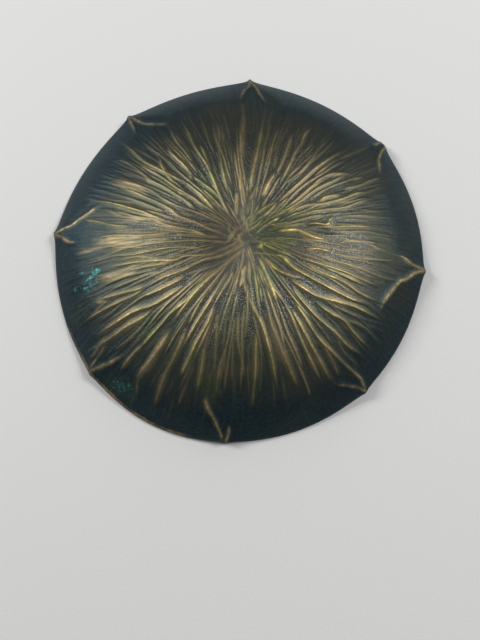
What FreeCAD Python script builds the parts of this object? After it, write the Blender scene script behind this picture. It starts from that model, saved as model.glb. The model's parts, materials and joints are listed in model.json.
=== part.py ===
"""Leaf-shaped flower frog: a shallow bronze lotus leaf with a bed of stem needles soldered inside.

The leaf lies face down, as it does when it is put away: its veined back is up (+Z) and
the needles hang inside the cup, short of the surface that the rim rests on. In use it
stands the other way up, on the small flat at the crown of its back.
All lengths are in millimetres and all angles in degrees, counted from +X towards +Y.
"""
import FreeCAD, Part
import math
import os

# Leaf outline: eight pinched corners, joined by round lobes
TIP_ANGLES = (-7.0, 36.0, 85.5, 127.5, 173.5, 221.5, 267.5, 311.5)
TIP_RADIUS = 60.0
LOBE_RADIUS = 59.4
TIP_FLANK = 4.0            # angle over which a corner's small rise dies away

# Leaf height
CROWN_HEIGHT = 19.0        # above the lowest part of the rim
TIP_HEIGHT = 3.0           # corners stand this far above the lowest part of the rim
SHEET = 1.0                # thickness of the bronze
CROWN_RADIUS = 8.0         # flat on which the frog stands in use
CROWN_CENTRE = (4.5, -0.5) # the veins don't meet quite in the middle of the leaf
LOBE_INSET = 0.19          # a lobe's fold lies this share of the way in from the rim
LOBE_CURL = 1.6            # how late in the lobe the fold steepens
LOBE_SHAPE = 0.6           # under 1: a lobe reaches its full droop soon after a corner

# Needle bed
PLATE_RADIUS = 30.0
PLATE_THICKNESS = 3.5
PLATE_BACK = 15.0          # height of the plate's back, against the solder
PLATE_CHAMFER = 0.5
SOLDER_FACE = 13.4         # height of the solder's free surface round the plate
NEEDLE_PITCH = 4.2
NEEDLE_FIELD = 26.0        # needles stand within this radius of the plate's centre
NEEDLE_RADIUS = 0.7
NEEDLE_POINT_LENGTH = 3.0
NEEDLE_POINT_RADIUS = 0.12
NEEDLE_TIP_HEIGHT = 1.2    # points stop this far above what the rim rests on
SOCKET_DEPTH = 2.5

# Fineness of the leaf's surface patches
ACROSS_LOBE = 18
ALONG_RAY = 16
DEGREE = 3

V = FreeCAD.Vector


def lobe_span(lobe):
    """First and last angle of a lobe."""
    first = TIP_ANGLES[lobe]
    last = TIP_ANGLES[(lobe + 1) % len(TIP_ANGLES)]
    return first, last if last > first else last + 360.0


def ray(lobe, across):
    """Start on the crown's edge and end on the rim of the ray at a share of a lobe."""
    first, last = lobe_span(lobe)
    angle = math.radians(first + (last - first) * across)
    from_tip = (last - first) * min(across, 1.0 - across)
    reach = LOBE_RADIUS + (TIP_RADIUS - LOBE_RADIUS) * math.exp(-from_tip / TIP_FLANK)
    direction = V(math.cos(angle), math.sin(angle), 0)
    start = V(CROWN_CENTRE[0], CROWN_CENTRE[1], 0) + direction * CROWN_RADIUS
    return start, direction * reach


def height(across, along):
    """Height of the leaf's back, across a lobe and along a ray from crown to rim."""
    dome = CROWN_HEIGHT - (CROWN_HEIGHT - TIP_HEIGHT) * along ** 2
    shape = abs(math.sin(math.pi * across)) ** LOBE_SHAPE
    into_fold = along - 1.0 + LOBE_INSET * shape
    if shape < 1e-6 or into_fold <= 0:
        return dome
    return dome - TIP_HEIGHT * shape * (into_fold / (LOBE_INSET * shape)) ** LOBE_CURL


def skin_point(lobe, across, along, depth):
    """Point at a depth under the leaf's back, square to its slope."""
    start, end = ray(lobe, across)
    step = 1e-4
    rise = height(across, along + step) - height(across, along - step)
    run = (end - start).Length * 2 * step
    outward = (end - start).normalize()
    normal = (outward * -rise + V(0, 0, run)).normalize()
    point = start + (end - start) * along
    point.z = height(across, along)
    return point - normal * depth


def knots(count):
    """Knots and multiplicities of a clamped spline with this many poles."""
    values = [float(i) for i in range(count - DEGREE + 1)]
    multiplicities = [1] * len(values)
    multiplicities[0] = multiplicities[-1] = DEGREE + 1
    return values, multiplicities


def skin_patch(lobe, depth):
    """One lobe's spline surface, from the crown's edge to the rim."""
    poles = []
    for j in range(ALONG_RAY):
        along = j / (ALONG_RAY - 1)
        shares = [i / (ACROSS_LOBE - 1) for i in range(ACROSS_LOBE)]
        poles.append([skin_point(lobe, across, along, depth) for across in shares])
    ray_knots, ray_mults = knots(ALONG_RAY)
    lobe_knots, lobe_mults = knots(ACROSS_LOBE)
    surface = Part.BSplineSurface()
    surface.buildFromPolesMultsKnots(
        poles, ray_mults, lobe_mults, ray_knots, lobe_knots, False, False, DEGREE, DEGREE)
    return surface


def border(surface, at_rim):
    """The patch's edge on the rim or on the crown."""
    first, last = surface.bounds()[:2]
    return surface.uIso(last if at_rim else first).toShape()


def make_leaf():
    """Leaf shell: back, inside, the two crown flats and the rim's edge, sewn together."""
    lobes = range(len(TIP_ANGLES))
    back = [skin_patch(lobe, 0.0) for lobe in lobes]
    inside = [skin_patch(lobe, SHEET) for lobe in lobes]
    faces = [surface.toShape() for surface in back + inside]
    for skin in (back, inside):
        faces.append(Part.Face(Part.Wire([border(surface, False) for surface in skin])))
    for outer, inner in zip(back, inside):
        faces.append(Part.makeRuledSurface(border(outer, True), border(inner, True)))
    shell = Part.makeShell(faces)
    shell.sewShape()
    solid = Part.makeSolid(Part.Shell(shell.Faces))
    if solid.Volume < 0:
        solid.reverse()
    return solid


def at_crown(z):
    """Point on the upright line through the crown's centre."""
    return V(CROWN_CENTRE[0], CROWN_CENTRE[1], z)


def needle_places():
    """Needle positions in rows, on a triangular grid about the crown's centre."""
    row_pitch = NEEDLE_PITCH * math.sin(math.radians(60))
    last_row = int(NEEDLE_FIELD / row_pitch)
    rows = []
    for row in range(-last_row, last_row + 1):
        y = row * row_pitch
        shift = NEEDLE_PITCH / 2 if row % 2 else 0.0
        reach = math.sqrt(NEEDLE_FIELD ** 2 - y ** 2)
        columns = range(math.ceil((-reach - shift) / NEEDLE_PITCH),
                        math.floor((reach - shift) / NEEDLE_PITCH) + 1)
        rows.append([at_crown(0) + V(column * NEEDLE_PITCH + shift, y, 0) for column in columns])
    return rows


def make_needle(place):
    """Needle, turned about its own axis: a straight shank with a pointed end."""
    top = PLATE_BACK - PLATE_THICKNESS + SOCKET_DEPTH
    profile = [(0, top), (NEEDLE_RADIUS, top),
               (NEEDLE_RADIUS, NEEDLE_TIP_HEIGHT + NEEDLE_POINT_LENGTH),
               (NEEDLE_POINT_RADIUS, NEEDLE_TIP_HEIGHT), (0, NEEDLE_TIP_HEIGHT), (0, top)]
    outline = Part.makePolygon([V(radius, 0, z) for radius, z in profile])
    needle = Part.Face(outline).revolve(V(0, 0, 0), V(0, 0, 1), 360)
    needle.translate(place)
    return needle


def make_plate(rows):
    """Round needle plate with a blind socket for each needle."""
    face_height = PLATE_BACK - PLATE_THICKNESS
    plate = Part.makeCylinder(PLATE_RADIUS, PLATE_THICKNESS, at_crown(face_height))
    lower_edges = [edge for edge in plate.Edges if abs(edge.BoundBox.ZMax - face_height) < 1e-6]
    plate = plate.makeChamfer(PLATE_CHAMFER, lower_edges)
    sockets = []
    for row in rows:
        for place in row:
            mouth = place + V(0, 0, face_height)
            sockets.append(Part.makeCylinder(NEEDLE_RADIUS, SOCKET_DEPTH, mouth))
    return plate.cut(Part.makeCompound(sockets))


def make_solder(leaf):
    """Solder that fills the leaf's crown down to a level face and holds the plate in it."""
    block = Part.makeCylinder(TIP_RADIUS, CROWN_HEIGHT, at_crown(SOLDER_FACE))
    under_leaf = min(block.cut(leaf).Solids, key=lambda solid: solid.BoundBox.ZMax)
    seat = Part.makeCylinder(PLATE_RADIUS, PLATE_BACK - SOLDER_FACE, at_crown(SOLDER_FACE))
    return under_leaf.cut(seat)


def make_nodes():
    """Every piece by node name, moved so that the leaf's bounding box is centred on Z."""
    leaf = make_leaf()
    rows = needle_places()
    nodes = {"leaf_shell": leaf, "solder_bed": make_solder(leaf), "needle_plate": make_plate(rows)}
    for number, row in enumerate(rows, start=1):
        needles = [make_needle(place) for place in row]
        nodes[f"needle_row_{number:02d}"] = Part.makeCompound(needles)
    box = leaf.optimalBoundingBox()
    shift = V(-box.Center.x, -box.Center.y, -box.ZMin)
    for shape in nodes.values():
        shape.translate(shift)
    return nodes


os.makedirs("parts", exist_ok=True)
for name, shape in make_nodes().items():
    shape.exportStep(f"parts/{name}.step")
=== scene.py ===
"""Looks of the leaf-shaped flower frog: a patinated bronze lotus leaf lying face down.

The leaf's back is a fine mesh over the CAD leaf's own shape, with its veins, corner folds and
small faults raised or sunk in the metal. The needle bed keeps its CAD solids.
Lengths are in metres and angles in degrees unless a name or a comment says otherwise.
"""
import json
import math

import bpy
import numpy as np
from mathutils import Matrix, Vector


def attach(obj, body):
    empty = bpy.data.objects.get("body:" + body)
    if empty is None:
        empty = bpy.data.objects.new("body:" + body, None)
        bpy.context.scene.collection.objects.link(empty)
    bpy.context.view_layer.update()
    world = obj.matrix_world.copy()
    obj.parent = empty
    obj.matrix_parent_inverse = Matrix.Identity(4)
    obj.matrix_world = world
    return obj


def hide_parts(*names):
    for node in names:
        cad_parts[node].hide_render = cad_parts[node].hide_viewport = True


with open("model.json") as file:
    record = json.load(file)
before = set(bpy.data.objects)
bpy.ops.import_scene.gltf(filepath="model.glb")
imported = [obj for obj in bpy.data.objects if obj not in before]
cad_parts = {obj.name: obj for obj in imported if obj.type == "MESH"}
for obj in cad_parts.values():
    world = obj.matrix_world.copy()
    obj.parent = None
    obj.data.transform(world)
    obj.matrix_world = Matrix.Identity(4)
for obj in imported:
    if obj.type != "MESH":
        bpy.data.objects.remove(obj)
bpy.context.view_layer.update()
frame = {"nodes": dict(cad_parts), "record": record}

MM = 0.001
SEED = 8
TINY = 1e-14               # keeps a division away from zero
rng = np.random.default_rng(SEED)

# The leaf's shape, as in the CAD part
TIP_ANGLES = np.array([-7.0, 36.0, 85.5, 127.5, 173.5, 221.5, 267.5, 311.5])
TIP_RADIUS = 60.0 * MM
LOBE_RADIUS = 59.4 * MM
TIP_FLANK = 4.0
DOME_RISE = 16.0 * MM
LOBE_DROOP = 3.0 * MM
SHEET = 1.0 * MM
CROWN_RADIUS = 8.0 * MM
CROWN_OFFSET = np.array([4.5, -0.5]) * MM
LOBE_SHAPE = 0.6

# How far each lobe's rim swells past the CAD leaf's, from the right-hand corner round
LOBE_SWELLS = np.array([0.5, 0.2, 0.4, 0.3, 0.0, 1.2, 0.3, 0.1]) * MM

# The fold between dome and lobes: a short arm at a lobe's first corner, a long one at its second
FOLD_INSET = 0.22          # greatest share of a ray, in from the rim, that the fold reaches
SHORT_ARM = 0.08           # share of the lobe over which the short arm runs in
SHORT_ARM_BEND = 0.7
LONG_ARM = 0.26            # share of the lobe over which the long arm runs back out
LONG_ARM_BEND = 0.75
FOLD_CURL = 1.6
LEAST_INSET = 1e-6

CROWN = Vector(next(m for m in frame["record"]["mounts"] if m["name"] == "crown_flat")["pos_m"])
LEAF_MIDDLE = np.array([CROWN.x, CROWN.y]) - CROWN_OFFSET
CROWN_SHARE = 1 / 7        # share of the way out at which the crown's flat ends

# Veins, listed one by one: half width in mm, strength, then x, y in mm from the leaf's middle
VEINS = (
    # far side, left
    (0.5, 0.8, (-20.6, 39.5), (-18.7, 34.5), (-16.8, 31), (-14.1, 27.2), (-11, 21.8)),
    (0.5, 0.9, (-17.2, 42.2), (-13.7, 34.5), (-11.4, 29.1), (-7.5, 22.5), (-6, 19.1), (-3.3, 12.2),
     (-1.3, 7.7), (0, 5.3)),
    (0.45, 0.7, (-10.2, 30.6), (-8.3, 26.4), (-5.7, 19)),
    (0.5, 1, (-20.6, 31.8), (-18.7, 27.5), (-15.6, 24.1), (-12.5, 20.2), (-12, 18.3), (-13, 16.4)),
    (0.55, 1, (-13, 16.4), (-11.4, 14.8), (-8.3, 11.8), (-4.5, 7.2)),
    (0.55, 1, (-22.5, 26.8), (-21.4, 23.3), (-19.5, 20.2), (-16.6, 15.6)),
    (0.45, 0.8, (-16.6, 15.6), (-14.8, 13.3), (-11, 11.6), (-7.2, 7.5)),
    (0.5, 0.9, (-39.5, 37.9), (-34.1, 32.9), (-27.5, 26), (-22.2, 22.2), (-17.5, 19.1),
     (-12.9, 16.4)),
    (0.5, 0.75, (-38.3, 29.1), (-33.3, 26.4), (-27.5, 21.4), (-24.8, 18.7), (-18.7, 14.8),
     (-11.4, 9.1)),
    (0.5, 0.6, (-46.4, 26.4), (-39.5, 22.2), (-34.8, 20), (-27, 16.8), (-18.7, 11.4)),
    (0.5, 0.8, (-34.8, 17.9), (-26.4, 13.3), (-20.6, 10.2), (-14.1, 5.6)),
    (0.5, 0.6, (-50.6, 22.5), (-44.5, 19.1), (-37.2, 16), (-30.2, 12.9), (-22.5, 9.1), (-18.7, 7.2)),
    (0.55, 0.9, (-49.8, 17.9), (-45.6, 15.6), (-37.9, 12.9), (-30.2, 9.8), (-22.5, 6.4),
     (-16.8, 2.9)),
    (0.5, 0.8, (-47.9, 9.1), (-42.9, 7.5), (-36.4, 5.2), (-30.2, 4.2)),
    (0.45, 0.6, (-40.2, 11.4), (-34.1, 8.1), (-31.8, 7.5)),
    (0.45, 0.4, (-57.2, 6), (-53.3, 5.2), (-48, 4.2)),
    (0.6, 0.7, (-5.2, 39.5), (-4.1, 34), (-3.7, 28.3), (-3.3, 24), (-2.2, 18.7), (-1, 14),
     (-0.3, 10.7)),
    (0.45, 0.6, (-5, 27.2), (-3.3, 23.3)),
    (0.45, 0.45, (-15.2, 44.8), (-12.5, 37.2), (-10.6, 31.8)),
    (0.45, 0.45, (-7.9, 39.5), (-6, 29), (-5.2, 27.2)),
    (0.45, 0.5, (-1, 32.5), (0.2, 24), (0.6, 19.5), (1.2, 14.8), (2, 12.5)),
    (0.5, 0.7, (-11.8, 19.1), (-6, 14.1), (-1, 9.1)),
    (0.4, 1, (-18.7, 14.5), (-14.1, 11.4), (-10.6, 8.3)),
    (0.45, 0.8, (-22.2, 13.3), (-16.8, 9.8), (-10.6, 7.2), (-3.3, 3.7)),
    (0.5, 0.9, (-19.5, 9.5), (-15.2, 6), (-9.8, 3.7), (-6.7, 2), (-0.3, -0.7)),
    (0.5, 0.8, (-24, 6.4), (-18.7, 3.3), (-11, 1.4), (-5.3, -1.3)),
    # far side, right
    (0.9, 0.6, (2, 48), (2.9, 43.7), (3.2, 36), (3.5, 30), (2.8, 24), (2.7, 20.6)),
    (0.5, 0.9, (2.7, 20.6), (2.9, 13)),
    (0.45, 0.4, (7.1, 44.5), (7.3, 40), (6.9, 36.4)),
    (0.8, 0.9, (9.5, 40), (8.6, 32.5), (7.3, 24.8), (6.3, 19.5), (5.8, 15.6), (5.2, 12)),
    (0.5, 0.6, (11.9, 39.5), (10.4, 31.8), (8.5, 26), (7.3, 23)),
    (0.45, 0.35, (14.6, 53.3), (13.5, 44.8), (13, 41)),
    (0.45, 0.7, (13.3, 33.1), (11.3, 26.4), (9.8, 20.2), (9.2, 17.9)),
    (0.5, 0.85, (18.5, 34.1), (16.5, 27.9), (14.8, 22.5), (13.1, 18.7)),
    (1, 0.95, (13.1, 19.5), (11.3, 16.4), (10.2, 14), (9.3, 11)),
    (0.45, 0.6, (13.8, 29), (12.9, 24), (12.3, 20.2)),
    (0.5, 0.8, (24.6, 37.5), (21.9, 33.3), (21, 30.2), (19, 26.8), (17.3, 22.5), (13.3, 13.7)),
    (0.45, 0.75, (26.5, 28.7), (22.3, 22.2), (18.8, 18.3), (14.2, 14.5)),
    (0.45, 0.7, (24.6, 26.8), (21.5, 23.3), (18.5, 19.8), (15.5, 17)),
    (0.5, 0.95, (34.6, 29.8), (28.8, 24.8), (23.8, 20.2), (19.2, 15.2), (15.8, 11.8), (13.3, 9.3)),
    (0.45, 0.6, (43.8, 33.3), (38.5, 29.8), (31.9, 25.2)),
    (0.5, 0.7, (45.8, 21.4), (41.9, 19.3), (37.7, 16.8), (32.7, 15.2)),
    (0.5, 0.6, (40.8, 20.2), (36.2, 19.1), (31.9, 16.8), (27.7, 14.5), (21.5, 9.8)),
    (0.55, 0.95, (36.5, 20.6), (30.8, 20), (26.9, 18.3), (23.8, 15.2), (19.2, 10.6), (14.6, 6.8)),
    (0.55, 0.8, (41.9, 15.6), (36.9, 14.1), (32.7, 11.8), (26.2, 9.5), (21.5, 8.7), (14.6, 5.2)),
    (0.7, 0.9, (25.8, 10.2), (26.9, 11.4), (28.5, 12.2), (32.7, 12.9)),
    (0.45, 0.6, (42.3, 13.7), (34.6, 11), (30.4, 8.7), (20.5, 6)),
    (0.45, 0.45, (55.4, 13.3), (49.6, 11), (43.1, 9.1), (36, 9)),
    (0.45, 0.55, (50, 8.3), (43.5, 7.3), (36.5, 6.8), (29.6, 5.6)),
    (0.4, 0.5, (42, 5.8), (31, 5.4)),
    (0.4, 0.5, (42.3, 4), (30, 3.7)),
    (0.5, 1.2, (22, 2.8), (24.6, 3.3), (27.7, 3.1), (28.5, 4.5), (29.6, 5.8)),
    (0.9, 1.2, (14, 0.8), (16.5, 1), (19, 1.2), (21, 0.3), (24, -0.9), (27.3, -1.4)),
    (0.55, 1, (1.9, 13), (1.7, 9.8), (1.8, 5.2)),
    (0.5, 0.7, (7.5, 15.4), (6.9, 13.3), (5, 9.5)),
    (0.6, 0.8, (7.3, 5.7), (10, 8), (12.5, 9.2), (14.2, 10)),
    (0.6, 0.7, (9.3, 5), (10.7, 6.3), (13.3, 9.3)),
    (0.5, 0.8, (7.3, -0.3), (9, 1.7), (12, 3.7), (14.5, 5)),
    (0.45, 0.6, (11, 2.6), (14, 3), (19.6, 4.5)),
    # near side, left
    (0.5, 0.7, (-42.5, 2.1), (-34, 1.7), (-26, 0.8), (-15, 1.3)),
    (0.5, 0.7, (-38, -2), (-30, -2.4), (-22.5, -1.9), (-15, -1.7), (-8.3, -1.7), (-1.7, -2.3),
     (0, -1)),
    (0.45, 0.75, (-38.7, -4.2), (-30.2, -4.8), (-24, -4.2), (-17.5, -3.5), (-11, -3.8), (-5.2, -5)),
    (0.45, 0.7, (-34.5, -6.5), (-27.5, -5.6), (-20.2, -6.9), (-16, -7.3)),
    (0.5, 0.9, (-39.5, -8.1), (-30.2, -7.3), (-22.5, -7.1), (-15.6, -7.3), (-13.3, -6.3), (-6, -6),
     (-3.3, -5)),
    (0.5, 0.7, (-31, -9.6), (-24.5, -8.7), (-16.8, -8.1)),
    (0.45, 0.6, (-39.5, -13.5), (-32.2, -11.5), (-21, -9.5)),
    (0.45, 0.6, (-37.2, -15), (-29.5, -12.7), (-24.1, -11.2), (-18.7, -10.4)),
    (0.55, 0.95, (-24.8, -14.8), (-19.5, -12.3), (-13.3, -10.3), (-7.9, -7.7), (-5, -7), (-2, -6.3),
     (0, -5), (3, -2.2)),
    (0.5, 0.8, (-24.8, -14.8), (-29.5, -15.6), (-34.1, -16.3), (-41.8, -17.7)),
    (1.1, 0.8, (-41.3, -18.2), (-39.2, -18.2)),
    (0.5, 0.8, (-24.8, -14.8), (-28.3, -16.9), (-34.1, -18.8), (-39.5, -20.8), (-48.3, -24.6)),
    (0.45, 0.6, (-37.2, -17.7), (-42.5, -21.5)),
    (0.45, 0.5, (-54.8, -19.6), (-51, -19), (-44.5, -18.3)),
    (0.5, 1, (-12.9, -12.3), (-16.8, -14.2), (-22.5, -16.5), (-25.2, -17.3)),
    (0.6, 1, (-13.3, -15), (-18.7, -18.1), (-22.5, -20), (-28.3, -21.5), (-34.8, -24.6),
     (-42.5, -28.5)),
    (0.8, 0.8, (-22.5, -21.5), (-26.4, -23.8), (-31, -25.8), (-35.6, -28.5), (-40.2, -30.8),
     (-42.9, -33.8), (-44.8, -34.6)),
    (0.6, 0.6, (-38.3, -30.8), (-42.2, -35.8)),
    (0.4, 0.6, (-45.6, -33), (-41.4, -31.2)),
    (0.4, 0.5, (-41.8, -28.8), (-36.4, -26.5)),
    (0.55, 0.8, (-26.4, -31.9), (-29.1, -33.8), (-34.1, -38.8)),
    (0.5, 0.95, (-26.4, -31.9), (-23.3, -28.8), (-20.2, -25.8), (-16.8, -22.3), (-10, -17.5)),
    (0.4, 0.55, (-27.5, -28.1), (-36, -33.1)),
    (0.7, 0.7, (-16.8, -26.2), (-19.5, -30.8), (-22.5, -34.6), (-26.4, -38.8), (-28.5, -43),
     (-29, -47)),
    (0.8, 0.85, (-16.8, -26.2), (-13.7, -21.5), (-9.8, -16.9), (-5.6, -12.7), (-2.3, -10),
     (1.3, -6.7), (4.3, -4.3)),
    (0.8, 0.7, (-11.8, -26.2), (-14.1, -30.8), (-16.8, -35.8), (-19.5, -40.4), (-22, -46),
     (-24, -50)),
    (0.5, 0.75, (-11.8, -26.2), (-9.1, -20.8), (-6, -16.5), (-2.5, -12.5)),
    (0.55, 1, (-4.1, -20), (-6, -25), (-9.5, -30.8), (-12.9, -37.3), (-14.8, -40.8)),
    (0.7, 0.4, (-14.8, -40.8), (-17.5, -48), (-20, -54)),
    (0.5, 0.8, (-4.1, -20), (-2.5, -17.3), (0, -13.3), (1, -10.3)),
    (0.5, 0.6, (-9.8, -35.8), (-13.7, -44.2), (-16, -49.2)),
    (0.6, 0.65, (-5, -26), (-7.2, -32.7), (-8.3, -38.1), (-10.6, -47.3)),
    (0.5, 0.6, (-3.3, -21.5), (-3.7, -28.8), (-5, -44)),
    (0.5, 0.6, (-1, -20), (-1.4, -29.2), (-3.5, -46)),
    (0.4, 0.3, (-13.3, -48.8), (-15.6, -54.6)),
    # near side, right
    (0.45, 0.6, (30, -1.5), (36.5, -1.2), (40, -1.4), (44.6, -2.9), (49.6, -1.9)),
    (0.4, 0.5, (31.5, -3.7), (38.5, -3.8), (44.6, -3.1)),
    (0.6, 1, (21.5, -4.6), (24.6, -4.2), (28.5, -4.8)),
    (0.45, 0.6, (28.5, -5.2), (34.6, -6), (42.3, -6), (50, -5.6)),
    (0.45, 0.65, (23.8, -5.8), (29.2, -7.3), (36.5, -8.8), (44.2, -11), (50, -11.5)),
    (0.5, 0.9, (20, -6.9), (24.6, -8.3), (28.8, -9.4), (33.8, -10.8), (43.1, -14)),
    (0.5, 0.8, (20.8, -8.1), (25.4, -10.8), (32.3, -13.3), (37.3, -16.2), (44.6, -18.8)),
    (0.55, 1, (11.7, -6), (15, -6.9), (17.7, -9.8), (22.3, -12.3), (26.9, -14.6), (33.8, -17.7),
     (39.6, -19.2)),
    (0.55, 1, (9.6, -6.5), (11.2, -8.5), (13.1, -10.4), (17.3, -12.3), (21.5, -12.7)),
    (0.55, 1, (16.9, -13.3), (20.4, -15.4), (24.6, -17.7), (31.5, -19.2), (36.5, -20.4),
     (44.2, -23.5)),
    (0.5, 0.9, (17.3, -15), (20, -18.8), (24.6, -23.5), (30, -27.7), (33.8, -31.2), (38.5, -33.8)),
    (0.5, 0.8, (23.8, -19.2), (28.5, -22.3), (32.7, -24.2), (35.8, -27.7), (42.3, -33.1)),
    (0.45, 0.6, (32.7, -24.2), (38.5, -25.8), (44.2, -30.4)),
    (0.4, 0.45, (26.9, -19.2), (32.7, -21.5), (38.5, -23.5), (48.1, -25.4)),
    (0.4, 0.35, (38.5, -25), (48.5, -27.7)),
    (0.55, 0.9, (17.3, -18.1), (21.2, -23.8), (25, -29.2), (29.2, -33.1), (34.6, -37.7),
     (36.5, -39.2)),
    (0.55, 0.95, (17.3, -21.5), (19.6, -25.4), (22.7, -30.8), (25.8, -35.8), (29.2, -41.5)),
    (0.8, 0.6, (26.5, -30.8), (29.2, -35.4), (31.9, -40.8)),
    (0.4, 0.55, (30.4, -28.5), (32.7, -33.1), (38.5, -37.7)),
    (0.4, 0.5, (32.7, -29.6), (39.2, -34.6)),
    (0.5, 0.8, (14.6, -18.8), (17.3, -23.5), (19.6, -28.8), (23.1, -35.8), (26.9, -42.7)),
    (0.8, 1, (8.3, -6.9), (10.2, -11.5), (11.9, -15.8), (13.1, -19.6)),
    (0.5, 0.8, (11.9, -15.4), (15.4, -20)),
    (1, 0.7, (10.4, -20.8), (11.9, -26.2), (14.2, -31.9), (16.5, -36.9), (20, -44.2)),
    (0.4, 0.6, (12.7, -24.6), (17.3, -32.7), (21.9, -42.3), (23.1, -46.2)),
    (0.55, 1, (5, -16.9), (6.7, -21.5), (8.8, -25.4), (10.4, -30), (11.9, -35.4), (13.8, -45.4)),
    (0.8, 0.7, (7.5, -26.2), (7.3, -32.7), (7.1, -40.4), (5.8, -51)),
    (0.6, 1, (4.8, -9), (3.8, -11), (3.7, -13.5), (2.8, -16)),
    (0.5, 0.7, (3.8, -13.8), (5, -18.1)),
    (0.45, 0.7, (6.7, -7), (7.3, -13.3), (8.5, -23.8)),
    (0.45, 0.55, (1.2, -21.5), (0.8, -32.7), (0.4, -44.2)),
    (0.45, 0.5, (3.5, -24.6), (3.1, -36.5), (2.9, -46.2)),
    (0.45, 0.5, (5, -34.6), (5.2, -44.2), (5.8, -50)),
    (0.45, 0.5, (9.2, -34.6), (8.3, -46.2)),
    (0.45, 0.45, (10.8, -34.6), (12.3, -42.3), (12.7, -51.2)),
    # jumble at the crown
    (0.5, 0.6, (-4.7, -1.7), (-1, -2.3), (0, -1)),
    (0.5, 0.6, (-2, -6.3), (0, -5), (3, -2.2)),
    (0.5, 0.6, (-0.7, -8), (3, -5.3), (4.3, -4.3)),
    (0.5, 0.6, (5.7, 1.7), (5.3, 0.3), (6.7, -1.3), (7.7, -1.7)),
    (0.5, 0.6, (4.3, 3.7), (6.7, 6.3)),
    (0.5, 0.6, (1.7, 4.7), (3, 2.3)),
    (0.5, 0.6, (5.7, -2.7), (8.3, -2.3), (13.3, -3.7)),
    (0.5, 0.6, (6, -6), (8.3, -5.7), (15, -6.7)),
    (0.5, 0.6, (-10, 7.3), (-3.3, 3.7), (-1.3, 2)),
    (0.5, 0.6, (-20, 2), (-15, 1.3), (-6.7, 0)),
    (0.5, 0.6, (-12.7, -11.7), (-5.7, -9.7), (1.3, -6.7)),
    (0.5, 0.6, (-10, -15), (-5, -11), (-2.3, -10)),
)

# Wide flat bands of metal rubbed tan, in the same form
BANDS = (
    (1.5, 0.8, (-37, 20), (-33, 18.5), (-29, 16.5), (-26.4, 15)),
    (1.3, 0.9, (-32, 6.8), (-26.4, 6), (-20.6, 4.8), (-14.8, 1.8)),
    (2, 1, (-42, 0.6), (-34, 0.2), (-26, -0.3), (-20, -1)),
    (1, 0.6, (-49.5, -1.7), (-38, -1.6)),
    (1.3, 0.8, (-40.2, -11.5), (-36, -11), (-31, -9.9), (-27, -9)),
    (1.3, 0.7, (-17.9, -28.1), (-21, -32.7), (-24.1, -36.9), (-27.9, -40.4)),
    (1.1, 0.8, (32.5, -10.8), (36.5, -12.3)),
    (1.2, 0.6, (12.5, -28), (15.5, -35.5)),
    (0.9, 0.6, (3.2, 40), (2.8, 23)),
)

# Rubbed creases that run in from each corner, two to a corner
CORNER_ARMS = (
    (1, 1, (-37.2, 49.5), (-35.6, 45.6), (-34.1, 42.5), (-32, 38.1)),
    (1, 1, (-36, 47.5), (-33, 44.5), (-30.2, 42.2), (-27.2, 41), (-23.7, 40.2), (-20.6, 39.8)),
    (1, 1, (-59.5, 6), (-55.2, 7.2), (-52.2, 7.7), (-49.5, 9.1), (-46.8, 10.2), (-44.5, 11.4),
     (-41.8, 13.3)),
    (1.1, 1, (-58.7, 5.6), (-56, 4.5), (-53.3, 2.5), (-49.8, 1.6)),
    (0.9, 1, (4.7, 60), (4.6, 55.5), (3.2, 53.5), (2.6, 51), (2, 48)),
    (1, 1, (4.7, 59), (6.1, 56), (7.3, 53.7), (8.1, 51), (10.4, 46.4)),
    (1.2, 1, (49, 37.2), (47.3, 36), (45.8, 34.5), (43.8, 33.3)),
    (1, 1, (48.8, 34.1), (47.3, 32.2), (46.2, 29.8), (45.4, 27.5), (45.6, 25.6), (45.3, 21.8)),
    (1, 1, (60, -6.9), (56.2, -6.3), (53.8, -5.4), (51.9, -4.2), (50.4, -3.7)),
    (1, 1, (59.5, -7.1), (55.8, -8.3), (52.3, -10.8), (50.4, -11.5), (47.7, -14.6), (45, -18.1),
     (43.5, -21)),
    (0.9, 1, (36, -38.8), (38.1, -40.4), (38.9, -41.9), (40.3, -44.2)),
    (0.9, 0.8, (40.3, -44.3), (38, -43.3), (36.2, -42.9), (33.8, -42.5), (30, -42.3)),
    (1, 1, (-7.4, -47.5), (-6.8, -49.6), (-5.2, -52.3), (-4.1, -55), (-3.3, -57), (-2.6, -59.8)),
    (0.9, 1, (-2, -59.5), (-1.2, -57), (-0.6, -54.5)),
    (1, 1, (-44.1, -38.5), (-40.2, -37.3), (-37.9, -36.7), (-36, -35.8), (-31.8, -34.2)),
    (0.8, 1, (-44.1, -38.5), (-43.7, -36.9), (-42.5, -35.8), (-41.8, -34.6)),
)

# Painted highlight: a rubbed gold line along the near left rim that stands in for the lit edge of the
# sheet
LIT_EDGE_ANGLES = (202.0, 262.0)
LIT_EDGE_OUT = 0.994           # share of the way out
LIT_EDGE_WIDTH = 0.6 * MM
LIT_EDGE_STEPS = 80

# Rounds of fainter veins: how many are tried, least and greatest share of the way out at which
# they start, shortest and longest share that they run, and least and greatest strength
FILL_ROUNDS = (
    (300, 0.12, 0.60, 0.34, 0.66, 0.50, 0.85),
    (700, 0.12, 0.80, 0.16, 0.36, 0.30, 0.70),
    (260, 0.04, 0.24, 0.10, 0.20, 0.35, 0.70),
    (400, 0.30, 0.85, 0.12, 0.22, 0.18, 0.40),
)

# Dark pits: middle x, y, half length and half width in mm, and tilt in degrees
PITS = ((25.5, 1.7, 4.6, 1.1, -12), (13.2, 9.9, 1.1, 0.45, 30), (14, 4.7, 1.1, 0.45, 30),
        (20.4, 34.6, 0.9, 0.4, 15))

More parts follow.
